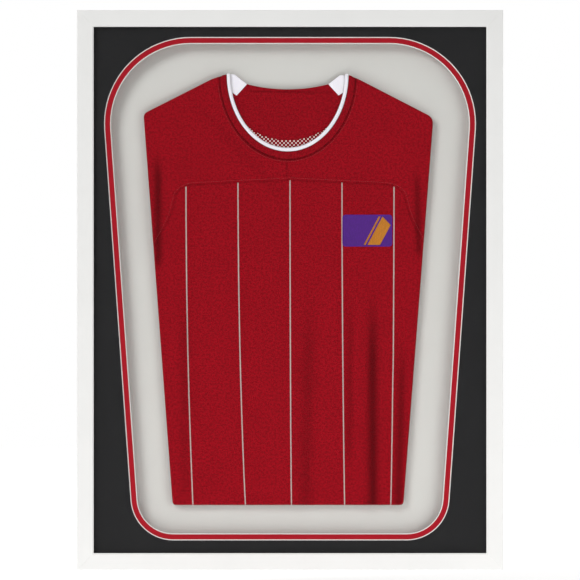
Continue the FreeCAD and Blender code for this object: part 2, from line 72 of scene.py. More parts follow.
# Folds in the front: upper and lower end as shares of the half width and height, then height, width, shade
FOLDS = [
    ((0.575, 0.54), (0.58, -0.06), 4.0 * MM, 27 * MM, 0.78),
    ((0.79, 0.42), (0.75, -0.06), 3.2 * MM, 20 * MM, 0.55),
    ((0.135, 0.54), (0.105, -0.06), 2.2 * MM, 36 * MM, 0.30),
    ((0.42, 0.52), (0.415, 0.14), 1.3 * MM, 18 * MM, 0.30),
    ((-0.74, 0.54), (-0.735, 0.06), 1.5 * MM, 24 * MM, 0.24),
    ((-0.925, 0.84), (-0.92, 0.58), 3.0 * MM, 20 * MM, 0.75),
    ((0.885, 0.80), (0.90, 0.60), 2.2 * MM, 16 * MM, 0.55),
    ((-0.80, 0.99), (-0.10, 0.74), 0.8 * MM, 30 * MM, 0.08),
]
SPARE_SHARE = 0.5  # spare cloth in a fold, as a share of its height
LIFT_SHARE = 0.8  # how far a fold starts off the former, as a share of its height
LOOSE_FROM_EDGE = 10.0 * MM  # the cloth is fully free this far from its edge
HELD_AT_EDGE = 1.5 * MM
MOST_MOVED = 9.0 * MM
SIMULATED_FRAMES = 30
CLOTH_SETTINGS = {
    "quality": 6,
    "mass": 0.15,
    "tension_stiffness": 30,
    "compression_stiffness": 30,
    "shear_stiffness": 8,
    "bending_stiffness": 0.6,
    "air_damping": 4,
}

# Trims
PIPING_WIDTH = 5.6 * MM
BAND_COLUMNS = 900
BAND_ROWS = 12
TAIL_STEPS = 6  # in each end, where it turns over the shoulder
TAIL_RADIUS = 2.0 * MM
TAIL_ROLL = 3.2 * MM  # how far the turned end rises above where its bend begins
STITCH_PITCH = 3.0 * MM
STITCH_RADIUS = 0.22 * MM
STITCH_SHARE = 0.72  # of the pitch
TOPSTITCH_GAP = 3.2 * MM  # from the seam

# Light and camera
BRIGHT_WORLD = 0.62
DIM_WORLD = 0.10
KEY_PLACE, KEY_SIZE, KEY_POWER = (-2.2, -2.4, 2.0), (1.3, 1.3), 56.0
FILL_PLACE, FILL_SIZE, FILL_POWER = (1.25, -1.3, -0.15), (0.8, 0.45), 5.0
FLOOR_GLOW = 0.48
CAMERA_DISTANCE = 9.0
FRAME_SHARE = 0.9655  # the frame's height over the picture's


# Shader helpers


class NodeTree:
    """Short calls that add nodes to a tree."""

    def __init__(self, tree):
        self.tree = tree

    def feed(self, socket, value):
        """A link if value is another node's output, and a plain value otherwise."""
        if isinstance(value, bpy.types.NodeSocket):
            self.tree.links.new(value, socket)
        else:
            socket.default_value = value

    def add(self, kind, inputs=None, **settings):
        node = self.tree.nodes.new("ShaderNode" + kind)
        for name, value in settings.items():
            setattr(node, name, value)
        for name, value in (inputs or {}).items():
            self.feed(node.inputs[name], value)
        return node

    def math(self, operation, *values):
        node = self.add("Math", operation=operation)
        for socket, value in zip(node.inputs, values):
            self.feed(socket, value)
        return node.outputs[0]

    def ridges(self, value, pitch):
        """Rounded ridges from 0 to 1, one for each pitch of value."""
        return self.math("ABSOLUTE", self.math("SINE", self.math("MULTIPLY", value, math.pi / pitch)))

    def mix(self, factor, low, high):
        """The colour low where factor is 0, and high where it is 1."""
        node = self.add("Mix", data_type="RGBA")
        self.feed(node.inputs[0], factor)
        self.feed(node.inputs[6], low)
        self.feed(node.inputs[7], high)
        return node.outputs[2]

    def ramp(self, value, low, high, to_low=0.0, to_high=1.0):
        node = self.add("MapRange", {0: value, 1: low, 2: high, 3: to_low, 4: to_high})
        return node.outputs[0]

    def fade(self, value, start, end, low, high):
        """The colour low where value is below start, and high where it is above end."""
        return self.mix(self.ramp(value, start, end), low, high)

    def place(self, scale=(1, 1, 1), flat=False, turn=0.0):
        """Coordinates in metres: on the object, or on the flat cloth."""
        source = self.add("TexCoord").outputs["UV" if flat else "Object"]
        mapping = self.add("Mapping", {"Vector": source, "Scale": scale, "Rotation": (0, 0, turn)})
        return mapping.outputs[0]

    def parts(self, vector):
        """The x, y and z of a vector."""
        return list(self.add("SeparateXYZ", {0: vector}).outputs)

    def noise(self, size, where=None, detail=2.0, rough=0.5):
        """Noise from 0 to 1 with features of about this size in metres."""
        inputs = {"Scale": 1 / size, "Detail": detail, "Roughness": rough}
        inputs["Vector"] = self.place() if where is None else where
        return self.add("TexNoise", inputs).outputs[0]


class Shader(NodeTree):
    """One material with a Principled surface."""

    def __init__(self, name, **surface):
        self.material = bpy.data.materials.new(name)
        self.material.use_nodes = True
        super().__init__(self.material.node_tree)
        self.surface = self.tree.nodes["Principled BSDF"]
        for socket, value in surface.items():
            self.surface.inputs[socket.replace("_", " ")].default_value = value

    def colour(self, value):
        self.feed(self.surface.inputs["Base Color"], value)

    def roughness(self, value, low, high):
        self.feed(self.surface.inputs["Roughness"], self.ramp(value, 0.3, 0.7, low, high))

    def bump(self, *layers):
        """Each layer is (height, distance in metres)."""
        normal = None
        for height, distance in layers:
            node = self.add("Bump", {"Height": height, "Distance": distance})
            if normal is not None:
                self.feed(node.inputs["Normal"], normal)
            normal = node.outputs[0]
        self.feed(self.surface.inputs["Normal"], normal)


def srgb(red, green, blue):
    """A linear colour from one picked on a 0 to 255 display scale."""
    linear = [((c / 255 + 0.055) / 1.055) ** 2.4 for c in (red, green, blue)]
    return (*linear, 1.0)


def shade(colour, factor):
    return (*[c * factor for c in colour[:3]], 1.0)


# Materials of the frame and the boards


def painted_wood(name, along):
    """Satin white paint over wood: fine brush lines along the rail and faint grain."""
    white = srgb(240, 240, 238)
    s = Shader(name, Specular_IOR_Level=0.4, Coat_Weight=0.08, Coat_Roughness=0.3)
    stretch = (0.03, 1, 1) if along == "x" else (1, 1, 0.03)
    brushed = s.noise(0.9 * MM, s.place(stretch), 3.0)
    grain = s.noise(5 * MM, s.place(stretch), 4.0, 0.6)
    cloudy = s.noise(60 * MM)
    tone = s.fade(cloudy, 0.3, 0.7, shade(white, 0.975), white)
    s.colour(s.mix(s.ramp(grain, 0.62, 0.75, 0.0, 0.35), tone, shade(white, 0.95)))
    s.roughness(brushed, 0.38, 0.5)
    s.bump((brushed, 0.02 * MM), (grain, 0.05 * MM))
    return s.material


def clear_glass():
    """Low-glare picture glass: almost nothing is mirrored head on, and more at a slant."""
    s = Shader("picture_glass", Roughness=0.02, Metallic=1.0, Base_Color=(0.97, 0.99, 0.98, 1.0))
    slant = s.add("LayerWeight", {"Blend": 0.5}).outputs["Facing"]
    grazing = s.math("POWER", slant, 5.0)
    s.feed(s.surface.inputs["Alpha"], s.ramp(grazing, 0.0, 1.0, 0.012, 0.3))
    return s.material


def mat_board(name, face):
    """Paper-faced mat board: fine fibres on the face and a white core where it is cut."""
    s = Shader(name, Specular_IOR_Level=0.25)
    normal = s.parts(s.add("NewGeometry").outputs["True Normal"])
    facing = s.math("ABSOLUTE", normal[1])
    paper = s.ramp(facing, 0.9, 0.95)
    fibre = s.noise(0.7 * MM, detail=4.0, rough=0.7)
    cloudy = s.noise(25 * MM, detail=3.0)
    tone = s.fade(cloudy, 0.3, 0.7, shade(face, 0.93), shade(face, 1.05))
    flecked = s.fade(fibre, 0.35, 0.7, shade(face, 0.9), tone)
    core = s.mix(fibre, srgb(222, 222, 219), srgb(244, 244, 241))
    s.colour(s.mix(paper, core, flecked))
    s.roughness(fibre, 0.78, 0.92)
    s.bump((fibre, 0.06 * MM))
    return s.material


def card(name, face):
    """Plain card or board with faint clouding and fibres."""
    s = Shader(name, Specular_IOR_Level=0.25)
    fibre = s.noise(0.9 * MM, detail=4.0, rough=0.7)
    cloudy = s.noise(70 * MM, detail=3.0)
    tone = s.fade(cloudy, 0.3, 0.7, shade(face, 0.975), shade(face, 1.01))
    s.colour(s.fade(fibre, 0.4, 0.75, shade(face, 0.96), tone))
    s.roughness(fibre, 0.79, 0.91)
    s.bump((fibre, 0.05 * MM))
    return s.material


def hardboard():
    """Brown pressed fibre with the crossed screen pattern on its back and dark flecks."""
    brown = srgb(128, 92, 60)
    s = Shader("hardboard", Specular_IOR_Level=0.3)
    fibre = s.noise(1.6 * MM, s.place((1, 1, 0.45)), 5.0, 0.75)
    fleck = s.noise(0.8 * MM, s.place((0.35, 1, 1)), 3.0, 0.8)
    cloudy = s.noise(90 * MM, detail=3.0)
    wires = {"Vector": s.place(), "Scale": 1 / (5.2 * MM), "Distortion": 0.3}
    waves = [s.add("TexWave", wires, bands_direction=way).outputs[1] for way in "XZ"]
    screen = s.math("MULTIPLY", *waves)
    tone = s.fade(cloudy, 0.3, 0.7, shade(brown, 0.85), shade(brown, 1.12))
    tone = s.fade(fibre, 0.35, 0.7, shade(brown, 0.7), tone)
    tone = s.mix(s.ramp(fleck, 0.66, 0.78, 0.0, 0.7), tone, shade(brown, 1.7))
    s.colour(s.mix(s.ramp(screen, 0.0, 1.0, 0.0, 0.3), tone, shade(brown, 0.65)))
    s.roughness(fibre, 0.68, 0.9)
    s.bump((screen, 0.12 * MM), (fibre, 0.12 * MM))
    return s.material


def metal(name, tone, rough, scratched=0.5):
    """Plated steel: fine scratches, small pits and darker worn patches."""
    s = Shader(name, Metallic=1.0)
    scratches = s.noise(0.35 * MM, s.place((0.06, 1, 1)), 4.0, 0.7)
    worn = s.noise(3.0 * MM, detail=4.0, rough=0.65)
    pits = s.noise(0.25 * MM, detail=1.0)
    dull = s.fade(worn, 0.45, 0.7, tone, shade(tone, 0.72))
    s.colour(s.mix(s.ramp(scratches, 0.6, 0.75, 0.0, scratched), dull, shade(tone, 1.15)))
    s.roughness(worn, rough, rough + 0.18)
    s.bump((scratches, 0.01 * MM), (pits, 0.01 * MM))
    return s.material


def rubber():
    """Black moulded rubber, dusty on top."""
    s = Shader("moulded_rubber", Specular_IOR_Level=0.35)
    grit = s.noise(0.5 * MM, detail=4.0, rough=0.7)
    dust = s.noise(2.5 * MM, detail=3.0)
    s.colour(s.mix(s.ramp(dust, 0.5, 0.8, 0.0, 0.5), srgb(34, 34, 35), srgb(78, 77, 74)))
    s.roughness(grit, 0.6, 0.85)
    s.bump((grit, 0.05 * MM))
    return s.material


def foam():
    """White closed-cell foam with visible cells at its cut sides."""
    s = Shader("adhesive_foam", Specular_IOR_Level=0.3)
    cells = s.add("TexVoronoi", {"Vector": s.place(), "Scale": 1 / (0.6 * MM)}).outputs["Distance"]
    s.colour(s.fade(cells, 0.1, 0.6, srgb(206, 206, 200), srgb(238, 238, 233)))
    s.feed(s.surface.inputs["Roughness"], s.ramp(cells, 0.0, 0.6, 0.7, 0.9))
    s.bump((cells, 0.15 * MM))
    return s.material


# Materials of the jersey

RED = srgb(164, 13, 29)
TRIM = srgb(250, 248, 255)
COLUMN_WIDTH = 1.1 * MM  # of the knit
ROW_HEIGHT = 0.85 * MM


def knit_height(s):
    """Rows of small leaning loops in columns."""
    x, y, _ = s.parts(s.place(flat=True))
    across = s.math("DIVIDE", x, COLUMN_WIDTH)
    up = s.math("DIVIDE", y, ROW_HEIGHT)
    leaning = s.math("MULTIPLY", s.math("PINGPONG", across, 0.5), 0.9)
    loop = s.math("SINE", s.math("MULTIPLY", s.math("ADD", up, leaning), 2 * math.pi))
    column = s.math("ABSOLUTE", s.math("SINE", s.math("MULTIPLY", across, math.pi)))
    return s.math("ADD", s.math("MULTIPLY", loop, 0.25), s.math("MULTIPLY", column, 0.5))


def jersey_knit(name, red=RED, striped=False):
    """Red polyester knit with grain, pin holes, painted shade in its creases and, on the body, cream
    pinstripes.
    """
    tints = {"Specular_Tint": (1.0, 0.3, 0.3, 1.0), "Sheen_Tint": (1.0, 0.1, 0.12, 1.0)}
    s = Shader(name, Specular_IOR_Level=0.08, Sheen_Weight=0.03, Sheen_Roughness=0.4, **tints)
    flat = s.place(flat=True)
    loops = knit_height(s)
    grain = s.noise(3.4 * MM, flat, 2.0, 0.65)
    speck = s.noise(1.7 * MM, flat, 1.0)
    patches = s.noise(45 * MM, flat, 3.0, 0.6)
    tone = s.fade(patches, 0.3, 0.7, shade(red, 0.93), shade(red, 1.08))
    tone = s.fade(grain, 0.38, 0.6, shade(red, 0.62), tone)
    tone = s.mix(s.ramp(speck, 0.62, 0.72, 0.0, 0.8), tone, shade(red, 1.5))
    tone = s.mix(s.ramp(speck, 0.28, 0.38, 0.8, 0.0), tone, shade(red, 0.45))
    tone = s.fade(loops, -0.1, 0.25, shade(red, 0.62), tone)
    if striped:
        across = s.parts(flat)[0]
        nearest = s.math("PINGPONG", s.math("ADD", across, STRIPE_GAP * 4), STRIPE_GAP / 2)
        ragged = s.math("ADD", nearest, s.ramp(speck, 0.3, 0.7, -0.15 * MM, 0.15 * MM))
        stripe = s.ramp(ragged, STRIPE_WIDTH * 0.42, STRIPE_WIDTH * 0.56, 1.0, 0.0)
        cream = s.mix(grain, srgb(175, 155, 150), srgb(204, 191, 186))
        tone = s.mix(stripe, tone, cream)
    # Painted shade: the colour darkens in seams, folds and other creases, as their attribute says.
    painted_shade = s.add("Attribute", attribute_name="painted_shade").outputs["Fac"]
    s.colour(s.mix(painted_shade, tone, shade(red, 0.2)))
    s.roughness(grain, 0.62, 0.82)
    s.bump((loops, 0.10 * MM), (grain, 0.15 * MM), (patches, 0.6 * MM))
    return s.material


def mesh_knit():
    """Eyelet mesh: red yarn with staggered rows of holes that show the white lining."""
    s = Shader("eyelet_mesh", Specular_IOR_Level=0.1)
    x, y, _ = s.parts(s.place(flat=True))
    pitch = 6.0 * MM
    row = s.math("FLOOR", s.math("DIVIDE", y, pitch * 0.5))
    shift = s.math("MULTIPLY", s.math("FLOORED_MODULO", row, 2.0), pitch * 0.5)
    along = s.math("PINGPONG", s.math("ADD", x, shift), pitch * 0.5)
    within = s.math("FLOORED_MODULO", y, pitch * 0.5)
    up = s.math("SUBTRACT", within, pitch * 0.25)
    away = s.math("SQRT", s.math("ADD", s.math("POWER", along, 2.0), s.math("POWER", up, 2.0)))
    hole = s.ramp(away, 1.05 * MM, 1.3 * MM, 1.0, 0.0)
    grain = s.noise(1.6 * MM, s.place(flat=True), 3.0, 0.7)
    yarn = s.mix(grain, shade(RED, 0.45), shade(RED, 0.95))
    lining = s.mix(grain, srgb(236, 220, 220), srgb(255, 252, 252))
    s.colour(s.mix(hole, yarn, lining))
    s.roughness(grain, 0.65, 0.85)
    s.bump((s.math("SUBTRACT", 1.0, hole), 0.25 * MM), (grain, 0.08 * MM))
    return s.material


def white_trim(name, rib):
    """White knitted or woven trim with fine ribs and painted shade along its edges. A faint violet glow on
    it is painted light that brightens it.
    """
    # Painted light: a faint violet glow that lifts the white.
    glow = {"Emission_Strength": 0.09, "Emission_Color": (0.92, 0.9, 1.0, 1.0)}
    s = Shader(name, Specular_IOR_Level=0.3, Sheen_Weight=0.2, **glow)
    x, y, _ = s.parts(s.place(flat=True))
    ribs = s.ridges(x, rib)
    threads = s.ridges(y, 0.5 * MM)
    weave = s.math("MULTIPLY", ribs, s.ramp(threads, 0.0, 1.0, 0.6, 1.0))
    grain = s.noise(1.4 * MM, s.place(flat=True), 3.0)
    tone = s.fade(weave, 0.0, 0.6, shade(TRIM, 0.88), TRIM)
    tone = s.fade(grain, 0.3, 0.75, shade(TRIM, 0.97), tone)
    # Painted shade: darker along the trim's edges, where it meets the next part.
    painted_shade = s.add("Attribute", attribute_name="painted_shade").outputs["Fac"]
    s.colour(s.mix(painted_shade, tone, shade(TRIM, 0.3)))
    s.roughness(grain, 0.6, 0.8)
    s.bump((weave, 0.12 * MM))
    return s.material


def embroidery(name, thread, lean):
    """Satin-stitch thread: fine parallel strands with a shine along them."""
    s = Shader(name, Specular_IOR_Level=0.2, Sheen_Weight=0.04)
    strand = s.ridges(s.parts(s.place(flat=True, turn=lean))[0], 0.45 * MM)
    broken = s.noise(1.5 * MM, s.place((1, 0.2, 1), flat=True, turn=lean), 3.0)
    tone = s.fade(strand, 0.1, 0.7, shade(thread, 0.45), thread)
    s.colour(s.fade(broken, 0.35, 0.7, shade(thread, 0.7), tone))
    s.roughness(broken, 0.35, 0.55)
    s.bump((strand, 0.15 * MM), (broken, 0.08 * MM))
    return s.material


def thread_material(name, tone):
    """Sewing thread: two-ply twist."""
    s = Shader(name, Specular_IOR_Level=0.4, Sheen_Weight=0.2)
    twist = s.noise(0.4 * MM, s.place((1, 1, 0.5)), 2.0)
    s.colour(s.fade(twist, 0.35, 0.65, shade(tone, 0.7), tone))
    s.roughness(twist, 0.5, 0.7)
    s.bump((twist, 0.05 * MM))
    return s.material


# Flat outlines, read from the CAD nodes


def front_outline(node):
    """The outlines (lists of x, z) of a node's frontmost flat face, anticlockwise, longest first."""
    bm = bmesh.new()
    bm.from_mesh(NODES[node].data)
    bmesh.ops.remove_doubles(bm, verts=bm.verts, dist=0.001 * MM)
    nearest = min(v.co.y for v in bm.verts)
    face = {f for f in bm.faces if all(abs(v.co.y - nearest) < 0.01 * MM for v in f.verts)}
    following = {}
    for f in face:
        for loop in f.loops:
            if sum(g in face for g in loop.edge.link_faces) == 1:
                following[loop.vert.index] = loop.link_loop_next.vert.index
    place = {v.index: (v.co.x, v.co.z) for v in bm.verts}
    bm.free()
    loops = []
    while following:
        start, there = next(iter(following.items()))
        loop = [place[start]]
        following.pop(start)
        while there != start and there in following:
            loop.append(place[there])
            there = following.pop(there)
        loops.append(loop if area(loop) > 0 else loop[::-1])
    return sorted(loops, key=len_round, reverse=True)


def area(points):
    """Signed area of a polygon."""
    p = np.array(points)
    q = np.roll(p, -1, 0)
    return float((p[:, 0] * q[:, 1] - q[:, 0] * p[:, 1]).sum() / 2)


def len_round(points):
    p = np.array(points)
    return float(np.linalg.norm(p - np.roll(p, -1, 0), axis=1).sum())


def resample(points, spacing, closed=False):
    """The same line with evenly spaced points."""
    p = np.array(list(points) + ([points[0]] if closed else []), float)
    along = np.concatenate([[0.0], np.cumsum(np.linalg.norm(np.diff(p, axis=0), axis=1))])
    count = max(2, round(along[-1] / spacing) + 1)
    wanted = np.linspace(0, along[-1], count)
    out = np.stack([np.interp(wanted, along, p[:, i]) for i in (0, 1)], 1)
    return out[:-1] if closed else out


def smooth_line(points, rounds):
    """The same open line with its corners eased."""
    p = np.array(points, float)
    for _ in range(rounds):
        eased = (np.roll(p, 1, 0) + 2 * p + np.roll(p, -1, 0)) / 4
        eased[0], eased[-1] = p[0], p[-1]
        p = eased
    return p


def outward(points, closed=False):
    """Unit normals to the right of a line, which is outwards on an anticlockwise one."""
    p = np.array(points, float)
    ahead, behind = np.roll(p, -1, 0), np.roll(p, 1, 0)
    if not closed:
        ahead[-1], behind[0] = p[-1], p[0]
    d = ahead - behind
    d /= np.linalg.norm(d, axis=1)[:, None]
    return np.stack([d[:, 1], -d[:, 0]], 1)


def inside(polygon, points):
    """Which points lie in a polygon."""
    p, pts = np.array(polygon), np.array(points)
    q = np.roll(p, -1, 0)
    x, z = pts[:, :1], pts[:, 1:]
    crosses = (p[:, 1] > z) != (q[:, 1] > z)
    rise = np.where(q[:, 1] == p[:, 1], 1.0, q[:, 1] - p[:, 1])
    at = p[:, 0] + (z - p[:, 1]) * (q[:, 0] - p[:, 0]) / rise
    return (crosses & (x < at)).sum(1) % 2 == 1


def neckline(node, inset=0.0):
    """The neckline ellipse that bounds a node: half width, drop and middle (x, z)."""
    low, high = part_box(node)
    return (high.x - low.x) / 2 - inset, high.z - low.z - inset, np.array([(low.x + high.x) / 2, high.z])


def neck_curve(half, drop, middle, count=120):
    """The lower half of a neckline, from left to right."""
    turn = np.linspace(math.pi, 2 * math.pi, count)
    return middle + np.stack([half * np.cos(turn), drop * np.sin(turn)], 1)


def tree_of(points):
    """A search tree over points (x, z)."""
    tree = kdtree.KDTree(len(points))
    for i, (x, z) in enumerate(points):
        tree.insert((x, z, 0), i)
    tree.balance()
    return tree


def cut_cloth(outline, spacing, lines=(), loose=()):
    """A flat triangle mesh in an outline, with edges along the lines and extra loose points."""
    fixed = [tuple(p) for p in outline]
    rim = len(fixed)
    edges = []
    for line in lines:
        first = len(fixed)
        fixed += [tuple(p) for p in line]
        edges += [(first + i, first + i + 1) for i in range(len(line) - 1)]
    fixed += [tuple(p) for p in loose]
    tree = tree_of(fixed)
    low, high = np.min(fixed, 0), np.max(fixed, 0)
    rows = np.arange(low[1], high[1], spacing * math.sqrt(0.75))
    grid = []
    for i, z in enumerate(rows):
        grid += [(x, z) for x in np.arange(low[0] + (i % 2) * spacing / 2, high[0], spacing)]
    held = inside(outline, grid)
    grid = [p for p, ok in zip(grid, held) if ok and tree.find((*p, 0))[2] > spacing * 0.62]
    flat = [Vector(p) for p in fixed + grid]
    result = delaunay_2d_cdt(flat, edges, [list(range(rim))], 1, 1e-7)
    return np.array(result[0]), result[2], result[3]


# Building meshes


def rounding(points, rim, reach):
    """From 0 at the rim to 1 at reach inside it, along a quarter circle."""
    tree = tree_of(rim)
    away = np.array([tree.find((x, z, 0))[2] for x, z in points])
    return np.sqrt(1 - (1 - np.clip(away / reach, 0, 1)) ** 2)


def new_piece(name, vertices, faces, material, flat=None):
    """A mesh object, with the flat cloth's coordinates as its UV map."""
    mesh = bpy.data.meshes.new(name)
    mesh.from_pydata([tuple(v) for v in vertices], [], [tuple(int(i) for i in f) for f in faces])
    if flat is not None:
        layer = mesh.uv_layers.new(name="cloth")
        corner = np.zeros(len(mesh.loops), int)
        mesh.loops.foreach_get("vertex_index", corner)
        layer.data.foreach_set("uv", np.array(flat)[corner].astype(np.float32).ravel())
    mesh.polygons.foreach_set("use_smooth", [True] * len(mesh.polygons))
    mesh.materials.append(material)
    piece = bpy.data.objects.new(name, mesh)
    bpy.context.scene.collection.objects.link(piece)
    return piece


def grid_faces(rows, columns, close_rows=False, close_columns=False, first=0):
    """The quads between points laid out in rows, which may close into rings."""
    faces = []
    for i in range(rows - (not close_rows)):
        for j in range(columns - (not close_columns)):
            a, b = first + i * columns, first + (i + 1) % rows * columns
            k = (j + 1) % columns
            faces.append((a + j, a + k, b + k, b + j))
    return faces


def modify(piece, kind, **settings):
    """Adds a modifier and applies it."""
    modifier = piece.modifiers.new(kind.lower(), kind)
    for name, value in settings.items():
        setattr(modifier, name, value)
    bpy.context.view_layer.objects.active = piece
    bpy.ops.object.modifier_apply(modifier=modifier.name)
    return piece


def finish_piece(piece, slot, *nodes):
    """The piece rides with the frame and stands for these CAD nodes, if any."""
    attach(piece, "frame")
    if nodes:
        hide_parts(*nodes)
    return piece


def bell(distance, width):
    """1 at no distance, and near 0 beyond two widths."""
    return np.exp(-((distance / width) ** 2))


def eased(share):
    """A share from 0 to 1 with a soft start and end."""
    return share * share * (3 - 2 * share)


def bumpy(x, z, size, seed):
    """Smooth noise from -1 to 1 over the plane."""
    return noise.noise(Vector((x / size, seed, z / size)))


# The jersey's front


def jersey_path():
    """The former's outline from the neck's left down and round to its right, and the cloth's cover."""
    loop = front_outline("shirt_former")[0]
    half, drop, middle = neckline("neck_piping")
    in_neck = [math.hypot((x - middle[0]) / half, (z - middle[1]) / drop) < 1.0 for x, z in loop]
    first = next(i for i in range(len(loop)) if in_neck[i - 1] and not in_neck[i])
    count = in_neck.count(False)
    kept = [loop[(first + i) % len(loop)] for i in range(-1, count + 1)]
    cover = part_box("jersey_yoke")[1].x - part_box("shirt_former")[1].x
    return resample(kept, CLOTH_SPACING * 0.56), cover


def seam_line():
    """The seam between the yoke and the body panel, from left to right, eased at its corners."""
    loop = front_outline("jersey_front_panel")[0]
    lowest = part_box("jersey_yoke")[0].z
    points = sorted((x, z) for x, z in loop if z > lowest - 0.1 * MM)
    return smooth_line(resample(points, SEAM_SPACING), 12)


def cloth_x(x, z, top, hem):
    """How far across the flat cloth a point lies: towards the hem the stripes have drifted."""
    even = np.arange(-2, 3) * STRIPE_GAP
    down = np.clip((top - z) / (top - hem), 0, 1) ** 2
    out = np.empty_like(x)
    for i, (px, t) in enumerate(zip(x, down)):
        here = even + np.array(STRIPE_DRIFT) * t
        out[i] = np.interp(px, here, even) + min(px - here[0], 0) + max(px - here[-1], 0)
    return out


def fold_share(x, z, fold):
    """Distance across a fold, in widths, and its strength at that height."""
    (u0, v0), (u1, v1), _, width, _ = fold
    low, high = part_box("jersey_front_panel")[0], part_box("jersey_yoke")[1]
    up = (z - low.z) / (high.z - low.z)
    t = (v0 - up) / (v0 - v1)
    middle = (u0 + (u1 - u0) * t) * high.x
    ends = np.clip(np.minimum(t / 0.35, (1.15 - t) / 0.15), 0, 1)
    return (x - middle) / width, eased(ends)


def front_cloth():
    """The front as one sheet: cut flat and wrapped round the former. Returns its mesh data."""
    path, cover = jersey_path()
    normal = outward(path)
    low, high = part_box("jersey_yoke")
    rim = path + normal * (cover - EDGE_RADIUS)
    neck = neck_curve(*neckline("neckband", UNDER_BAND), count=110)
    above = (0, 0.1)
    outside = ~inside(np.vstack([neck, [neck[-1] + above, neck[0] + above]]), rim)
    rim, normal = rim[outside], normal[outside]
    neck = neck[inside(rim, neck)]
    seam = seam_line()
    beside = outward(seam)
    outline = np.vstack([rim, neck[::-1]])
    held = inside(outline, seam)
    rows = [seam + beside * d * MM for d in (-5.0, -2.5, -1.1, 1.1, 2.5, 5.0)]
    loose = np.vstack(rows)
    loose = loose[inside(outline, loose)]
    loose = apart(loose, np.vstack([outline, seam[held]]), 1.0 * MM)
    flat, faces, source = cut_cloth(outline, CLOTH_SPACING, [seam[held]], loose)
    index = {orig: new for new, old in enumerate(source) for orig in old}
    points = [(x, low.y, z) for x, z in flat]
    sheet = [tuple(p) for p in flat]
    faces = [list(f) for f in faces]
    previous = [index[i] for i in range(len(rim))]
    for out, y, run in wrap_profile(low.y, high.y):
        here = list(range(len(points), len(points) + len(rim)))
        for r, n in zip(rim, normal):
            spot = r + n * out
            points.append((spot[0], y, spot[1]))
            sheet.append(tuple(r + n * run))
        for i in range(len(rim) - 1):
            faces.append([previous[i], here[i], here[i + 1], previous[i + 1]])
        previous = here
    return np.array(points), faces, np.array(sheet), len(flat), seam, outline


def apart(points, others, gap):
    """Points that keep a gap to others and to each other."""
    tree = tree_of(others)
    kept = []
    for x, z in points:
        if tree.find((x, z, 0))[2] < gap:
            continue
        if any(math.hypot(x - a, z - b) < gap for a, b in kept[-60:]):
            continue
        kept.append((x, z))
    return np.array(kept)


def wrap_profile(front, back):
    """Steps round the former's edge: outward shift, depth and run along the cloth."""
    steps = []
    r = EDGE_RADIUS
    for angle in (22, 45, 67, 90):
        a = math.radians(angle)
        steps.append((r * math.sin(a), front + r * (1 - math.cos(a)), r * a))
    run = r * math.pi / 2
    small = 0.9 * MM
    steps.append((r, back - small, run + (back - small) - (front + r)))
    run = steps[-1][2]
    for angle in (45, 90):
        a = math.radians(angle)
        steps.append((r - small * (1 - math.cos(a)), back - small + small * math.sin(a), run + small * a))
    steps.append((r - small - TUCK, back, steps[-1][2] + TUCK))
    return steps


def settle(points, faces, free_count, outline):
    """A short cloth simulation: spare width lifts off at each fold, and the wrapped rim stays put."""
    piece = new_piece("settling", points, faces, bpy.data.materials.new("settling"))
    x, z = points[:, 0].copy(), points[:, 2]
    lift = np.zeros(len(points))
    spare = np.zeros(len(points))
    for fold in FOLDS:
        across, strength = fold_share(x, z, fold)
        slide = np.clip(across + 0.5, 0, 1)
        spare += SPARE_SHARE * fold[2] * strength * (eased(slide) - 0.5)
        lift += LIFT_SHARE * fold[2] * strength * bell(across, 1 / 2.4)
    tree = tree_of(outline)
    away = np.array([tree.find((px, pz, 0))[2] for px, _, pz in points])
    away[free_count:] = 0.0
    loosened = np.clip(away / LOOSE_FROM_EDGE, 0, 1)
    piece.shape_key_add(name="Basis")
    cut = piece.shape_key_add(name="cut")
    rest = points.copy()
    rest[:, 0] += spare
    cut.data.foreach_set("co", rest.astype(np.float32).ravel())
    start = points.copy()
    start[:, 1] -= lift * loosened
    piece.data.shape_keys.key_blocks["Basis"].data.foreach_set("co", start.astype(np.float32).ravel())
    piece.data.vertices.foreach_set("co", start.astype(np.float32).ravel())
    held = piece.vertex_groups.new(name="held")
    for i, gap in enumerate(away):
        if gap < HELD_AT_EDGE or i >= free_count:
            held.add([i], 1.0, "REPLACE")
    former = collider(points[:free_count, 1].max() + 2.6 * MM)
    cloth = piece.modifiers.new("cloth", "CLOTH")
    for setting, value in CLOTH_SETTINGS.items():
        setattr(cloth.settings, setting, value)
    cloth.settings.vertex_group_mass = "held"
    cloth.settings.rest_shape_key = cut
    cloth.settings.effector_weights.gravity = 0.3
    cloth.collision_settings.distance_min = 1.0 * MM
    cloth.collision_settings.use_self_collision = False
    cloth.point_cache.frame_start = 1
    cloth.point_cache.frame_end = SIMULATED_FRAMES
    scene = bpy.context.scene
    for step in range(1, SIMULATED_FRAMES + 1):
        scene.frame_set(step)
    seen = piece.evaluated_get(bpy.context.evaluated_depsgraph_get())
    settled = np.array([tuple(v.co) for v in seen.data.vertices])
    scene.frame_set(1)
    for temporary in (piece, former):
        bpy.data.objects.remove(temporary)
    return settled


def collider(y):
    """A temporary wall for the cloth to lie on, just behind its resting plane."""
    low, high = CAD_BOX
    corners = [(low.x, y, low.z), (high.x, y, low.z), (high.x, y, high.z), (low.x, y, high.z)]
    wall = new_piece("former_wall", corners, [(0, 1, 2, 3)], bpy.data.materials.new("wall"))
    wall.modifiers.new("collision", "COLLISION")
    wall.collision.thickness_outer = 1.0 * MM
    return wall


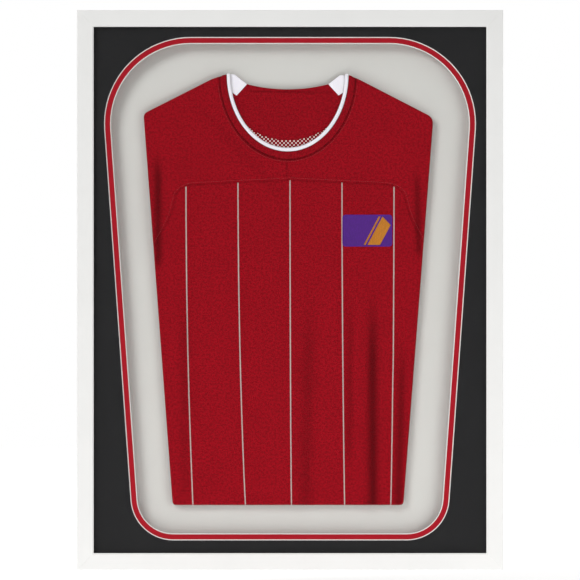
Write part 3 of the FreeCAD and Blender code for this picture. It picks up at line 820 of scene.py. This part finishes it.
def jersey_front():
    """Yoke and striped body panel, parted along their seam from one settled sheet."""
    points, faces, sheet, free_count, seam, outline = front_cloth()
    settled = settle(points, faces, free_count, outline)
    shift = np.clip(settled - points, -MOST_MOVED, MOST_MOVED)
    settled = points + shift
    top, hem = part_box("jersey_front_panel")[1].z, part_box("jersey_front_panel")[0].z
    flat = np.stack([cloth_x(sheet[:, 0], sheet[:, 1], top, hem), sheet[:, 1]], 1)
    middle = np.array([np.mean(sheet[f], 0) for f in faces])
    is_yoke = middle[:, 1] > np.interp(middle[:, 0], seam[:, 0], seam[:, 1])
    plain, striped = jersey_knit("yoke_knit"), jersey_knit("striped_knit", striped=True)
    made = []
    for name, mask, material, node in (
        ("yoke_cloth", is_yoke, plain, "jersey_yoke"),
        ("front_panel_cloth", ~is_yoke, striped, "jersey_front_panel"),
    ):
        chosen = [f for f, ok in zip(faces, mask) if ok]
        used = sorted({i for f in chosen for i in f})
        renumber = {old: new for new, old in enumerate(used)}
        kept = [[renumber[i] for i in f] for f in chosen]
        piece = new_piece(name, settled[used], kept, material, flat[used])
        modify(piece, "SUBSURF", levels=1, boundary_smooth="PRESERVE_CORNERS")
        relief(piece, seam)
        finish_piece(piece, "jersey_knit", node)
        made.append(piece)
    return made, seam


def relief(piece, seam):
    """The folds, soft unevenness, the seam's dip and ridge, and the dip beside the neckband."""
    tree = tree_of(seam)
    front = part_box("jersey_yoke")[0].y
    half, drop, middle = neckline("neckband")
    spots = np.array([tuple(v.co) for v in piece.data.vertices])
    raised, shaded = np.zeros(len(spots)), np.zeros(len(spots))
    for fold in FOLDS:
        across, strength = fold_share(spots[:, 0], spots[:, 2], fold)
        ridge = bell(across + 0.55, 0.35) - 0.3 * bell(across - 0.2, 0.3)
        raised += fold[2] * strength * ridge
        shaded += fold[4] * strength * bell(across, 0.3)
    centre_seam = middle[0] - 1.0 * MM
    painted_shade = []
    for v, lift, dark in zip(piece.data.vertices, raised, shaded):
        x, y, z = v.co
        depth = max(0.0, 1 - max(0.0, y - front) / (2 * MM))
        wave = 0.35 * MM * bumpy(x, z, 60 * MM, 1.3) + 0.16 * MM * bumpy(x, z, 19 * MM, 7.1)
        nearest = tree.find((x, z, 0))
        gap = nearest[2] if z < nearest[0].y else -nearest[2]
        dip = 0.9 * MM * bell(gap, 1.0 * MM)
        ridge = 0.45 * MM * bell(gap + 3.4 * MM, 2.2 * MM)
        out = (math.hypot((x - middle[0]) / half, (z - middle[1]) / drop) - 1) * half
        beside = bell(out, 1.6 * MM)
        upright = bell(x - centre_seam, 0.9 * MM)
        upright *= (gap < 0) * (abs(z - middle[1]) > drop)
        v.co.y += (wave + dip - ridge - lift + 0.6 * MM * beside + 0.4 * MM * upright) * depth
        # Painted shade: darker in the seam, beside the neckband, along the centre line and down each fold.
        in_seam = bell(gap, 0.9 * MM)
        painted_shade.append(max(0.55 * in_seam, 0.95 * beside, 0.4 * upright, dark * depth))
    paint_shade(piece, painted_shade)
    piece.data.update()


# Everything else of the jersey


def swept_band(name, outer, inner, starts, thick, material, ribs):
    """A band along the neckline between two ellipses, turned back over the shoulder at each end."""
    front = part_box("shirt_former")[0].y
    columns, rows, tail = BAND_COLUMNS, BAND_ROWS, TAIL_STEPS
    points, flat, painted_shade = [], [], []
    length = 0.0
    last = None
    for i in range(-tail, columns + tail + 1):
        t = min(max(i / columns, 0.0), 1.0)
        rims = []
        for (half, drop, middle), (left, right) in zip((outer, inner), starts):
            angle = math.pi + left + (math.pi - left - right) * t
            rims.append(middle + (half * math.cos(angle), drop * math.sin(angle)))
        a, b = rims
        over = max(-i, i - columns, 0) / tail * (math.pi / 2)
        centre = (a + b) / 2
        if last is not None:
            length += np.linalg.norm(centre - last) if over == 0 else TAIL_RADIUS * (math.pi / 2) / tail
        last = centre
        wide = np.linalg.norm(a - b)
        for j in range(rows + 1):
            share = j / rows
            crown = math.sin(math.pi * share) ** 0.5
            rib = 1.0 + 0.10 * math.cos(2 * math.pi * length / ribs) * math.sin(math.pi * share)
            height = thick * (0.15 + 0.85 * crown) * rib
            x, z = a + (b - a) * share
            y = front - height
            if over > 0:
                radius = TAIL_RADIUS + height
                y = front + TAIL_RADIUS - radius * math.cos(over)
                z += radius * math.sin(over) - 1.0 * MM
            points.append((x, y, z))
            flat.append((length, share * wide))
            # Painted shade: a dark line along both edges of the band, where it meets the next part.
            painted_shade.append(bell(min(share, 1 - share) * wide, 0.35 * MM))
    faces = [face[::-1] for face in grid_faces(columns + 2 * tail + 1, rows + 1)]
    band = new_piece(name, points, faces, material, flat)
    paint_shade(band, painted_shade)
    return band


def paint_shade(piece, values):
    """Painted shade at each vertex, from 0 to 1, for its material to darken the colour by."""
    layer = piece.data.attributes.new("painted_shade", "FLOAT", "POINT")
    layer.data.foreach_set("value", np.array(values, np.float32))


def neck_pieces():
    """Neckband and piping. Their ends follow the slope of the shoulder."""
    outer = neckline("neckband")
    joint = neckline("neck_piping")
    joint[2][1] = outer[2][1]
    inner = (joint[0] - PIPING_WIDTH, joint[1] - PIPING_WIDTH, joint[2])
    shoulders = front_outline("jersey_yoke")[0]
    starts = []
    for side in (-1, 1):
        top = max(z for x, z in shoulders if (x - outer[2][0]) * side > 0)
        starts.append(math.asin((outer[2][1] - top + TAIL_ROLL) / outer[1]))
    level = (0.7 * TAIL_ROLL / joint[1], 0.9 * TAIL_ROLL / joint[1])
    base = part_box("shirt_former")[0].y
    band_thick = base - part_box("neckband")[0].y
    piping_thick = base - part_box("neck_piping")[0].y
    rib_knit = jersey_knit("rib_knit", shade(RED, 0.95))
    band = swept_band("neckband_rib", outer, joint, (starts, level), band_thick, rib_knit, 2.4 * MM)
    finish_piece(band, "jersey_knit", "neckband")
    white_rib = white_trim("white_rib", 1.3 * MM)
    piping = swept_band("neck_piping_roll", joint, inner, (level, level), piping_thick, white_rib, 1.3 * MM)
    finish_piece(piping, "white_trim", "neck_piping")
    return band, piping


def flat_cloth(name, outline, y, material, spacing, thick, uneven, seed):
    """A thin cloth piece in a plane, slightly uneven, with real thickness."""
    rim = resample(outline, spacing * 0.8, closed=True)
    flat, faces, _ = cut_cloth(rim, spacing)
    points = [(x, y + uneven * bumpy(x, z, 30 * MM, seed), z) for x, z in flat]
    piece = new_piece(name, points, faces, material, flat)
    orient(piece)
    modify(piece, "SOLIDIFY", thickness=thick, offset=-1.0)
    return piece


def orient(piece):
    """Turns the faces so that they look to the front."""
    total = sum(p.normal.y * p.area for p in piece.data.polygons)
    if total > 0:
        piece.data.flip_normals()


def inner_pieces():
    """Back layer, half-moon facing and tape ends, seen through the neck."""
    made = {}
    low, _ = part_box("jersey_back")
    outline = front_outline("jersey_back")[0]
    back = flat_cloth("back_mesh_cloth", outline, low.y, mesh_knit(), 6.0 * MM, 0.6 * MM, 0.1 * MM, 5.0)
    finish_piece(back, "jersey_mesh", "jersey_back")
    made["back"] = (back, outline)
    low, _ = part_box("back_neck_facing")
    outline = front_outline("back_neck_facing")[0]
    knit = jersey_knit("facing_knit", shade(RED, 0.97))
    facing = flat_cloth("neck_facing_cloth", outline, low.y, knit, 1.6 * MM, 0.45 * MM, 0.12 * MM, 9.0)
    turned_top(facing)
    finish_piece(facing, "jersey_knit", "back_neck_facing")
    made["facing"] = (facing, outline)
    tape = white_trim("herringbone_tape", 1.0 * MM)
    low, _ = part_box("neck_tape")
    for outline in front_outline("neck_tape"):
        label = "left" if np.mean(outline, 0)[0] < 0 else "right"
        piece = flat_cloth("neck_tape_" + label, outline, low.y, tape, 1.6 * MM, 0.7 * MM, 0.08 * MM, 2.0)
        finish_piece(piece, "white_trim", "neck_tape")
        made["tape_" + label] = (piece, outline)
    return made


def turned_top(facing):
    """The facing's upper edge is folded over and stitched: a soft roll with a dip below it, darkened by
    painted shade.
    """
    low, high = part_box("back_neck_facing")
    middle = (low.x + high.x) / 2
    half = (high.x - low.x) / 2
    painted_shade = []
    for v in facing.data.vertices:
        across = (v.co.x - middle) / half
        fold = high.z - 11.5 * MM - 1.5 * MM * across
        below = v.co.z - fold
        reach = max(0.0, 1 - abs(across) * 1.2) ** 0.5
        dip = bell(below, 1.3 * MM) * reach
        roll = bell(below - 3.2 * MM, 2.4 * MM) * reach
        v.co.y += 0.35 * MM * dip - 0.7 * MM * roll
        # Painted shade in the dip below the roll.
        painted_shade.append(0.55 * dip)
    paint_shade(facing, painted_shade)


def folded_pad(name, node, material, seed):
    """Cloth folded flat: a soft closed form with rounded edges that fills its CAD solid."""
    low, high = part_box(node)
    outline = front_outline(node)[0]
    rim = resample(outline, 5 * MM, closed=True)
    flat, faces, _ = cut_cloth(rim, 7 * MM)
    middle, half = (low.y + high.y) / 2, (high.y - low.y) / 2
    points, sheet = [], []
    for side in (-1, 1):
        for (x, z), swell in zip(flat, rounding(flat, rim, 5 * MM)):
            soft = 1 - 0.25 * (0.5 + 0.5 * bumpy(x, z, 35 * MM, seed))
            points.append((x, middle + side * half * swell * soft, z))
            sheet.append((x, z))
    count = len(flat)
    every = [tuple(f) for f in faces] + [tuple(i + count for i in f[::-1]) for f in faces]
    piece = new_piece(name, points, every, material, sheet)
    bm = bmesh.new()
    bm.from_mesh(piece.data)
    bmesh.ops.remove_doubles(bm, verts=bm.verts, dist=0.05 * MM)
    bmesh.ops.recalc_face_normals(bm, faces=bm.faces)
    bm.to_mesh(piece.data)
    bm.free()
    return piece, outline


def surface_of(*pieces):
    """A search tree over the pieces' surfaces."""
    points, faces = [], []
    for piece in pieces:
        first = len(points)
        points += [v.co.copy() for v in piece.data.vertices]
        faces += [[first + i for i in p.vertices] for p in piece.data.polygons]
    return BVHTree.FromPolygons(points, faces)


def stitches(name, line, surface, tone):
    """A row of short stitches lying on a surface along a line (x, z)."""
    spots = resample(line, STITCH_PITCH)
    points, faces = [], []
    around, along = 6, 5
    for a, b in zip(spots, spots[1:]):
        a, b = np.array(a), np.array(b)
        step = (b - a) * STITCH_SHARE
        side = np.array([-step[1], step[0]]) / max(np.linalg.norm(step), 1e-9)
        tube = []
        for i in range(along):
            t = i / (along - 1)
            centre = a + step * t
            fat = STITCH_RADIUS * max(0.15, math.sin(math.pi * (0.08 + 0.84 * t))) ** 0.5
            hit = surface.ray_cast(Vector((centre[0], -0.05, centre[1])), Vector((0, 1, 0)))
            if hit[0] is None:
                break
            for j in range(around):
                turn = 2 * math.pi * j / around
                p = centre + side * fat * math.cos(turn)
                tube.append((p[0], hit[0].y - fat * 0.6 - fat * math.sin(turn), p[1]))
        if hit[0] is None:
            continue
        first = len(points)
        points += tube
        faces += grid_faces(along, around, close_columns=True, first=first)
        faces.append(tuple(first + j for j in range(around))[::-1])
        faces.append(tuple(first + (along - 1) * around + j for j in range(around)))
    piece = new_piece(name, points, faces, thread_material(name + "_thread", tone))
    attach(piece, "frame")
    return piece


def stitched_shape(name, rim, front, crown, material, back, spacing=1.4 * MM):
    """A raised area of satin stitching: flat inside, rounded over at its rim."""
    rim = resample(rim, spacing * 0.6, closed=True)
    flat, faces, _ = cut_cloth(rim, spacing)
    swells = rounding(flat, rim, 1.6 * MM)
    points = [(x, front - crown * swell, z) for (x, z), swell in zip(flat, swells)]
    piece = new_piece(name, points, faces, material, flat)
    orient(piece)
    modify(piece, "SOLIDIFY", thickness=back - front, offset=-1.0)
    return piece


def crest():
    """A plain patch: stitched field, two slanting bands and a corded edge."""
    low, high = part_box("chest_crest")
    outline = resample(front_outline("chest_crest")[0], 0.8 * MM, closed=True)
    normal = outward(outline, closed=True)
    violet, amber = srgb(95, 31, 155), srgb(229, 147, 44)
    back = high.y + 0.3 * MM
    ground = low.y + 0.25 * MM
    violet_thread = embroidery("violet_stitching", violet, 0.4)
    rim = outline - normal * 1.0 * MM
    field = stitched_shape("crest_field", rim, ground, 0.05 * MM, violet_thread, back)
    made = [finish_piece(field, "crest_patch", "chest_crest")]

    lean = math.radians(62)
    along = np.array([math.cos(lean), math.sin(lean)])
    across = np.array([-along[1], along[0]])
    middle = np.array([(low.x + high.x) / 2, (low.z + high.z) / 2])
    inner = outline - normal * 2.4 * MM
    amber_thread = embroidery("amber_stitching", amber, -lean)
    reach = np.linspace(-1, 1, 400)[:, None] * (high.x - low.x)
    bands = {"crest_band_wide": (-10.0 * MM, -27.0 * MM), "crest_band_narrow": (-5.0 * MM, -7.6 * MM)}
    for name, (near, far) in bands.items():
        sides = []
        for off, way in ((near, 1), (far, -1)):
            line = middle + across * off + reach * way * along
            sides.append(line[inside(inner, line)])
        rim = np.vstack(sides)
        front, under = ground - 0.05 * MM, ground + 0.2 * MM
        band = stitched_shape(name, rim, front, 0.4 * MM, amber_thread, under, 1.1 * MM)
        made.append(finish_piece(band, "crest_patch"))

    step = 0.24 * MM
    rope = resample(outline - normal * 1.0 * MM, step, closed=True)
    rope_normal = outward(rope, closed=True)
    around = 8
    points, flat = [], []
    for i, (p, n) in enumerate(zip(rope, rope_normal)):
        for j in range(around):
            turn = 2 * math.pi * j / around
            thick = 0.9 * MM * (1 + 0.12 * math.cos(2 * math.pi * i / 3 + turn))
            spot = p + n * thick * math.cos(turn)
            points.append((spot[0], ground - 0.7 * thick * math.sin(turn), spot[1]))
            flat.append((i * step, turn * 0.3 * MM))
    faces = grid_faces(len(rope), around, close_rows=True, close_columns=True)
    edge_thread = embroidery("violet_edge_stitching", shade(violet, 1.25), 0.0)
    edge = new_piece("crest_edge", points, faces, edge_thread, flat)
    return [*made, finish_piece(edge, "crest_patch")]


def dress_nodes():
    """Materials of the CAD nodes that keep their shape."""
    across, upright = painted_wood("painted_rail_across", "x"), painted_wood("painted_rail_upright", "z")
    zinc = metal("zinc_plate", srgb(205, 203, 192), 0.3)
    nickel = metal("nickel_plate", srgb(214, 212, 206), 0.22)
    brass = metal("brass_plate", srgb(214, 186, 118), 0.3, 0.35)
    plain = card("spacer_card", srgb(226, 226, 221))
    by_start = [
        ("rail_top", across),
        ("rail_bottom", across),
        ("rail_", upright),
        ("glazing_sheet", clear_glass()),
        ("outer_mat", mat_board("black_mat_board", srgb(33, 33, 34))),
        ("inner_mat", mat_board("red_mat_board", srgb(172, 4, 29))),
        ("backing_board", card("backing_card", srgb(224, 224, 219))),
        ("shirt_former", card("former_card_board", srgb(224, 224, 218))),
        ("spacer_", plain),
        ("back_panel", hardboard()),
        ("fixing_pads", foam()),
        ("wall_bumper", rubber()),
        ("hanger_screws", zinc),
        ("turn_button_screws", zinc),
        ("corner_v_nails", metal("dark_steel", srgb(128, 128, 130), 0.42)),
        ("hanger_", nickel),
        ("turn_button_", brass),
    ]
    for name, node in NODES.items():
        for start, material in by_start:
            if name.startswith(start):
                node.data.materials.clear()
                node.data.materials.append(material)
                break


# Stage


def backdrop():
    """A pale floor below the object, short in front, where the glass would mirror it."""
    below = CAD_BOX[0].z - 30 * MM
    xs, ys = np.linspace(-6.0, 6.0, 13), np.linspace(-1.2, 8.0, 13)
    points = [(x, y, below) for y in ys for x in xs]
    faces = grid_faces(len(ys), len(xs))
    glow = {"Emission_Strength": FLOOR_GLOW, "Emission_Color": (1.0, 1.0, 1.0, 1.0)}
    pale = (0.9, 0.9, 0.9, 1.0)
    s = Shader("pale_floor", Roughness=0.9, Specular_IOR_Level=0.1, Base_Color=pale, **glow)
    floor = new_piece("floor", points, faces, s.material)


def light(name, place, target, size, power):
    lamp = bpy.data.lights.new(name, "AREA")
    lamp.shape = "RECTANGLE"
    lamp.size, lamp.size_y = size
    lamp.energy = power
    holder = bpy.data.objects.new(name, lamp)
    holder.location = place
    holder.rotation_mode = "QUATERNION"
    holder.rotation_quaternion = (Vector(target) - Vector(place)).to_track_quat("-Z", "Y")
    bpy.context.scene.collection.objects.link(holder)


def studio():
    """A white studio, dim behind the camera, with a soft key light from the upper left and a weak fill."""
    world = bpy.data.worlds.new("studio")
    world.use_nodes = True
    s = NodeTree(world.node_tree)
    away = s.parts(s.add("TexCoord").outputs["Generated"])[1]
    level = s.ramp(away, -0.92, -0.6, DIM_WORLD, BRIGHT_WORLD)
    seen = s.math("MAXIMUM", s.add("LightPath").outputs["Is Camera Ray"], level)
    background = world.node_tree.nodes["Background"]
    s.feed(background.inputs[0], (1.0, 1.0, 1.0, 1.0))
    s.feed(background.inputs[1], seen)
    bpy.context.scene.world = world
    light("key", KEY_PLACE, (0.0, 0.0, 0.0), KEY_SIZE, KEY_POWER)
    light("fill", FILL_PLACE, (0.0, 0.0, -0.1), FILL_SIZE, FILL_POWER)
    bpy.context.scene.view_settings.view_transform = "Standard"


def camera():
    """Square on to the glass from far enough away that the sides don't show."""
    low, high = CAD_BOX
    middle = (low + high) / 2
    data = bpy.data.cameras.new("camera")
    data.sensor_width = 36.0
    seen = (high.z - low.z) / FRAME_SHARE
    data.lens = data.sensor_width * (CAMERA_DISTANCE + low.y) / seen
    data.clip_end = 60.0
    eye = bpy.data.objects.new("camera", data)
    eye.location = (middle.x, -CAMERA_DISTANCE, middle.z)
    eye.rotation_euler = (math.pi / 2, 0, 0)
    bpy.context.scene.collection.objects.link(eye)
    bpy.context.scene.camera = eye


def cloth_size(piece):
    """Width, length and area of the flat cloth a piece was made from, which its UV map holds."""
    mesh = piece.data
    uv = np.zeros(len(mesh.loops) * 2, np.float32)
    mesh.uv_layers["cloth"].data.foreach_get("uv", uv)
    uv = uv.reshape(-1, 2).astype(float)
    total = sum(abs(area(uv[list(p.loop_indices)])) for p in mesh.polygons)
    width, length = np.ptp(uv, axis=0)
    return float(width), float(length), float(total)


def build():
    dress_nodes()
    (yoke, panel), seam = jersey_front()
    surface = surface_of(yoke, panel)
    beside = outward(seam)
    sewing = stitches("yoke_topstitch", (seam - beside * TOPSTITCH_GAP)[2:-2], surface, shade(RED, 0.9))
    half, drop, middle = neckline("neckband")
    line = neck_curve(half + TOPSTITCH_GAP, drop + TOPSTITCH_GAP, middle, 200)[8:-8]
    neck_sewing = stitches("neck_topstitch", line, surface, shade(RED, 0.9))
    for piece, sewn_on in ((yoke, [*neck_pieces(), sewing, neck_sewing]), (panel, crest())):
        width, length, flat_area = cloth_size(piece)
    for label, (piece, outline) in inner_pieces().items():
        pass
    for side in ("left", "right"):
        node = "sleeve_" + side
        piece, outline = folded_pad(node + "_folded", node, jersey_knit("knit_" + node), 2.0 + len(side))
        finish_piece(piece, "jersey_knit", node)


build()
backdrop()
studio()
camera()
